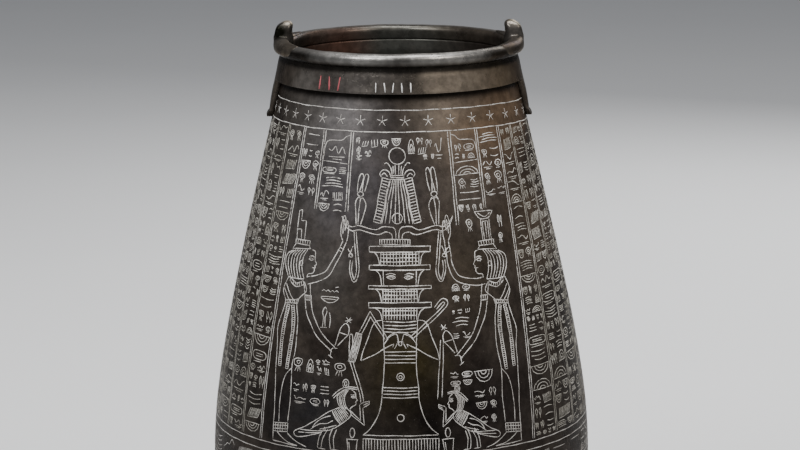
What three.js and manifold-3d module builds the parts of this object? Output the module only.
// A large bronze situla (ritual bucket) in four pieces: a hollow, bag-shaped vessel that swells from a
// narrow mouth to a heavy belly, a rim collar that fits over its neck, and two handle lugs that sit
// astride the rolled rim. The collar has a tab under each lug, which hangs down clear of the shoulder.
// The bail handle that once hooked into the lugs is lost.
// Millimetres, +Z up, origin at the centre of the flat the vessel stands on, lugs at -X and +X.
import * as THREE from "three";
import { mergeVertices } from "three/addons/utils/BufferGeometryUtils.js";
import Module from "manifold-3d";

const AROUND = 64; // facets round the vessel, with corners on the X and Y axes
const GAP = 0.3; // between pieces that touch

// Vessel
const BELLY_RADIUS = 130; // widest circle
const BELLY_HEIGHT = 144;
const FOOT_RADIUS = 54; // flat resting circle
const FLARE = 0.259; // radius lost per unit of height on the cone that the shoulder runs into
const SHOULDER_SOFTNESS = 81; // height over which the belly turns into that cone
const NECK_START = 410; // from here up the wall is a cylinder inside the collar
const NECK_RISE = 4; // height over which the wall turns into that cylinder
const LIP_HEIGHT = 421.4;
const WALL = 2.5;
const FLOOR_THICKNESS = 4;
const MOUTH_RADIUS = 74.2; // the neck is thicker inwards, up to the lip
const MOUTH_BOTTOM = 412; // the mouth is straight above this height
const THICKENING_START = 396; // and the wall starts to thicken at this one

// Rim collar
const ROLL = { radius: 78.3, height: 426.6, halfWidth: 4.9, halfHeight: 4.8, squareness: 2.3 };
const ROLL_FACET = 24; // degrees round the roll's section, 0 outwards and 90 on top
const ROLL_FROM = -60; // where the skirt's outer face runs into the roll
const ROLL_FACETS = 13; // up to where its inner face does
const SKIRT_THICKNESS = 2;
const SKIRT_OUTLINE = [
  // outer face, radius and height, from the roll down to the lower edge
  [80.6, 422.6],
  [80.9, 419.2],
  [82.2, 415],
  [82.9, 411],
  [84.2, 406.3],
];
const TAB_WIDTH = 26;
const TAB_CORNER = 7; // rounding of its lower corners
const TAB_END = { radius: 89.1, height: 381.2, beadRadius: 1.6 }; // thickened lower edge
const TAB_MIDDLE = 394;
const TAB_CLEARANCE = 0.7; // between a tab's back and the shoulder
const TAB_INSET = 0.2; // how far a tab's top stays inside the skirt that it grows from
const TAB_OVERLAP = 1.5; // how far it runs up into the skirt

// Handle lugs
const SADDLE_THICKNESS = 1.1; // the shell that hugs the roll
const SADDLE_REACH = 30; // degrees to each side of the lug
const SADDLE_FACETS = [1, 8]; // the facets of the roll that it covers
const EYE_INNER_FACE = 71.4; // distance from the vessel's axis
const EYE_OUTER_FACE = 84.2;
const EYE_CENTRE = 437; // height of the hole's centre
const EYE_RADIUS = 7;
const EYE_HOLE_RADIUS = 3.7;
const EYE_FOOT_WIDTH = 25; // along the rim
const EYE_FOOT_HEIGHT = 428;
const EYE_LEG = { spread: 1, low: 0.3, high: 2.1 }; // where the legs turn out, measured above the roll
const EYE_INNER_ROUND = 2; // rounding of the top, seen along the rim
const EYE_OUTER_ROUND = 6.5;

const wasm = await Module();
wasm.setup();

// Turns a closed three.js geometry into a manifold-3d solid.
function solidOf(geometry) {
  const bare = new THREE.BufferGeometry().setAttribute("position", geometry.getAttribute("position"));
  if (geometry.index) bare.setIndex(geometry.index);
  const merged = mergeVertices(bare, 1e-4);
  const mesh = new wasm.Mesh({
    numProp: 3,
    vertProperties: new Float32Array(merged.attributes.position.array),
    triVerts: new Uint32Array(merged.index.array),
  });
  return new wasm.Manifold(mesh);
}

// Turns a manifold-3d solid back into a three.js geometry.
function geometryOf(solid) {
  const mesh = solid.getMesh();
  const geometry = new THREE.BufferGeometry();
  geometry.setAttribute("position", new THREE.BufferAttribute(mesh.vertProperties, 3));
  geometry.setIndex(new THREE.BufferAttribute(mesh.triVerts, 1));
  geometry.computeVertexNormals();
  return geometry;
}

// Turns a profile of (radius, height) points about the vertical axis.
function turned(profile) {
  return new THREE.LatheGeometry(profile, AROUND).rotateX(Math.PI / 2);
}

// Points on an arc of a circle, angles in degrees.
function arc(centreX, centreY, radius, from, to, steps) {
  return Array.from({ length: steps + 1 }, (_, i) => {
    const angle = THREE.MathUtils.degToRad(from + ((to - from) * i) / steps);
    return new THREE.Vector2(centreX + radius * Math.cos(angle), centreY + radius * Math.sin(angle));
  });
}

// Corners of the roll's section, a softly squared ellipse, grown outwards by an offset.
function rollArc(offset, first, last) {
  const power = 2 / ROLL.squareness;
  const bent = (value) => Math.sign(value) * Math.abs(value) ** power;
  return Array.from({ length: last - first + 1 }, (_, i) => {
    const angle = THREE.MathUtils.degToRad(ROLL_FROM + ROLL_FACET * (first + i));
    return new THREE.Vector2(
      ROLL.radius + (ROLL.halfWidth + offset) * bent(Math.cos(angle)),
      ROLL.height + (ROLL.halfHeight + offset) * bent(Math.sin(angle)),
    );
  });
}

// Places a shape drawn in (along the rim, height) so that its depth runs outwards from the vessel.
function facing(side, start) {
  const along = new THREE.Vector3(0, side, 0);
  const up = new THREE.Vector3(0, 0, 1);
  const out = new THREE.Vector3(side, 0, 0);
  return new THREE.Matrix4().makeBasis(along, up, out).setPosition(side * start, 0, 0);
}

// Places a shape drawn in (distance from the axis, height) so that its depth runs along the rim.
function alongRim(side, width) {
  const out = new THREE.Vector3(side, 0, 0);
  const up = new THREE.Vector3(0, 0, 1);
  const along = new THREE.Vector3(0, -side, 0);
  return new THREE.Matrix4().makeBasis(out, up, along).setPosition(0, (side * width) / 2, 0);
}

function extruded(outline, depth, placing) {
  return solidOf(new THREE.ExtrudeGeometry(outline, { depth, bevelEnabled: false }).applyMatrix4(placing));
}

// Depth that the bowl's ellipse needs below the belly to be FOOT_RADIUS wide where it is cut flat.
const BOWL_DEPTH = BELLY_HEIGHT / Math.sqrt(1 - (FOOT_RADIUS / BELLY_RADIUS) ** 2);

// Outer radius of the wall: an elliptical bowl below the belly, a hyperbola that runs into a cone above.
function outerRadius(height) {
  const rise = height - BELLY_HEIGHT;
  if (rise < 0) return BELLY_RADIUS * Math.sqrt(1 - (rise / BOWL_DEPTH) ** 2);
  return BELLY_RADIUS - FLARE * (Math.hypot(rise, SHOULDER_SOFTNESS) - SHOULDER_SOFTNESS);
}

// The point WALL inside the outer wall, measured square to it.
function innerPoint(height) {
  const step = 0.5;
  const slope = (outerRadius(height + step) - outerRadius(height - step)) / (2 * step);
  const length = Math.hypot(1, slope);
  return new THREE.Vector2(outerRadius(height) - WALL / length, height + (WALL * slope) / length);
}

function vesselBody() {
  const bowl = [16, 28, 44, 64, 90, 117, BELLY_HEIGHT];
  const shoulder = [170, 200, 235, 275, 320, 365, NECK_START];
  const heights = [0, 3, 8, ...bowl, ...shoulder];
  const outer = heights.map((height) => new THREE.Vector2(outerRadius(height), height));
  const inner = [...bowl, ...shoulder.slice(0, -1), THICKENING_START].reverse().map(innerPoint);
  const neckRadius = SKIRT_OUTLINE[0][0] - SKIRT_THICKNESS - GAP;
  const profile = [
    new THREE.Vector2(0, 0),
    ...outer,
    new THREE.Vector2(neckRadius, NECK_START + NECK_RISE),
    new THREE.Vector2(neckRadius, LIP_HEIGHT),
    new THREE.Vector2(MOUTH_RADIUS, LIP_HEIGHT),
    new THREE.Vector2(MOUTH_RADIUS, MOUTH_BOTTOM),
    ...inner,
    new THREE.Vector2(FOOT_RADIUS, FLOOR_THICKNESS),
    new THREE.Vector2(0, FLOOR_THICKNESS),
  ];
  return turned(profile);
}

// Rolled rim with the flaring skirt below it, as one closed section.
function collarSection() {
  const outer = SKIRT_OUTLINE.map(([radius, height]) => new THREE.Vector2(radius, height));
  const inner = outer.map((point) => new THREE.Vector2(point.x - SKIRT_THICKNESS, point.y));
  const roll = rollArc(0, 0, ROLL_FACETS);
  const section = [...outer.reverse(), ...roll, ...inner];
  return [...section, section[0]];
}

// The tab's section: it carries the skirt's slope on down to a thickened edge, and its back follows the wall.
function tabSection() {
  const [topRadius, topHeight] = SKIRT_OUTLINE.at(-1);
  const back = [topHeight + TAB_OVERLAP, topHeight, TAB_MIDDLE, TAB_END.height].map(
    (height) => new THREE.Vector2(outerRadius(height) + TAB_CLEARANCE, height),
  );
  const bead = arc(TAB_END.radius, TAB_END.height, TAB_END.beadRadius, -140, 20, 7);
  const section = [
    ...back,
    ...bead,
    new THREE.Vector2(topRadius - TAB_INSET, topHeight),
    new THREE.Vector2(topRadius - 2 * TAB_INSET, topHeight + TAB_OVERLAP),
  ];
  return [...section, section[0]];
}

// Seen from outside: a tongue with rounded lower corners.
function tabOutline() {
  const half = TAB_WIDTH / 2;
  const bottom = TAB_END.height - TAB_END.beadRadius;
  const top = SKIRT_OUTLINE.at(-1)[1] + 2 * TAB_OVERLAP;
  return new THREE.Shape([
    ...arc(-half + TAB_CORNER, bottom + TAB_CORNER, TAB_CORNER, 180, 270, 6),
    ...arc(half - TAB_CORNER, bottom + TAB_CORNER, TAB_CORNER, 270, 360, 6),
    new THREE.Vector2(half, top),
    new THREE.Vector2(-half, top),
  ]);
}

function rimCollar() {
  const tabRing = solidOf(turned(tabSection()));
  let collar = solidOf(turned(collarSection()));
  for (const side of [-1, 1]) {
    const block = extruded(tabOutline(), BELLY_RADIUS, facing(side, 0));
    collar = collar.add(tabRing.intersect(block));
  }
  return geometryOf(collar);
}

// The shell of the lug that hugs the roll's top and outer face.
function saddle(side) {
  const outer = rollArc(GAP + SADDLE_THICKNESS, ...SADDLE_FACETS);
  const inner = rollArc(GAP, ...SADDLE_FACETS).reverse();
  const ring = solidOf(turned([...outer, ...inner, outer[0]]));
  const far = BELLY_RADIUS;
  const spread = far * Math.tan(THREE.MathUtils.degToRad(SADDLE_REACH));
  const wedge = new THREE.Shape([
    new THREE.Vector2(0, 0),
    new THREE.Vector2(side * far, -side * spread),
    new THREE.Vector2(side * far, side * spread),
  ]);
  const halfDepth = 4 * ROLL.halfHeight;
  const upright = new THREE.Matrix4().makeTranslation(0, 0, ROLL.height - halfDepth);
  return ring.intersect(extruded(wedge, 2 * halfDepth, upright));
}

// Seen from outside: an arch with a round hole, on legs that spread into the saddle.
function eyeOutline() {
  const half = EYE_FOOT_WIDTH / 2;
  const rollTop = ROLL.height + ROLL.halfHeight;
  const outline = new THREE.Shape([
    new THREE.Vector2(-half, EYE_FOOT_HEIGHT),
    new THREE.Vector2(half, EYE_FOOT_HEIGHT),
    new THREE.Vector2(half, rollTop + EYE_LEG.low),
    new THREE.Vector2(EYE_RADIUS + EYE_LEG.spread, rollTop + EYE_LEG.high),
    ...arc(0, EYE_CENTRE, EYE_RADIUS, 0, 180, 10),
    new THREE.Vector2(-EYE_RADIUS - EYE_LEG.spread, rollTop + EYE_LEG.high),
    new THREE.Vector2(-half, rollTop + EYE_LEG.low),
  ]);
  const holeSides = 16;
  const sideAngle = 360 / holeSides;
  outline.holes.push(new THREE.Path(arc(0, EYE_CENTRE, EYE_HOLE_RADIUS, 360, sideAngle, holeSides - 1)));
  return outline;
}

// Seen along the rim: upright inside, rounded off above and outside.
function eyeSideOutline() {
  const top = EYE_CENTRE + EYE_RADIUS;
  const bottom = EYE_FOOT_HEIGHT - 1;
  return new THREE.Shape([
    new THREE.Vector2(EYE_INNER_FACE, bottom),
    new THREE.Vector2(EYE_OUTER_FACE, bottom),
    ...arc(EYE_OUTER_FACE - EYE_OUTER_ROUND, top - EYE_OUTER_ROUND, EYE_OUTER_ROUND, 0, 90, 4),
    ...arc(EYE_INNER_FACE + EYE_INNER_ROUND, top - EYE_INNER_ROUND, EYE_INNER_ROUND, 90, 180, 2),
  ]);
}

function handleLug(side) {
  const depth = EYE_OUTER_FACE - EYE_INNER_FACE;
  const arch = extruded(eyeOutline(), depth, facing(side, EYE_INNER_FACE));
  const width = EYE_FOOT_WIDTH * 1.2;
  const envelope = extruded(eyeSideOutline(), width, alongRim(side, width));
  const fullCircle = 360 / ROLL_FACET;
  const room = solidOf(turned(rollArc(GAP, 0, fullCircle)));
  return geometryOf(arch.intersect(envelope).subtract(room).add(saddle(side)));
}

function piece(name, geometry, color, roughness) {
  const material = new THREE.MeshStandardMaterial({ color, roughness, metalness: 0.7 });
  const mesh = new THREE.Mesh(geometry, material);
  mesh.name = name;
  return mesh;
}

const situla = new THREE.Group();
situla.add(piece("vessel_body", vesselBody(), 0x3a322c, 0.45));
situla.add(piece("rim_collar", rimCollar(), 0x4a4038, 0.4));
situla.add(piece("handle_lug_left", handleLug(-1), 0x4f463c, 0.35));
situla.add(piece("handle_lug_right", handleLug(1), 0x4f463c, 0.35));

export default situla;
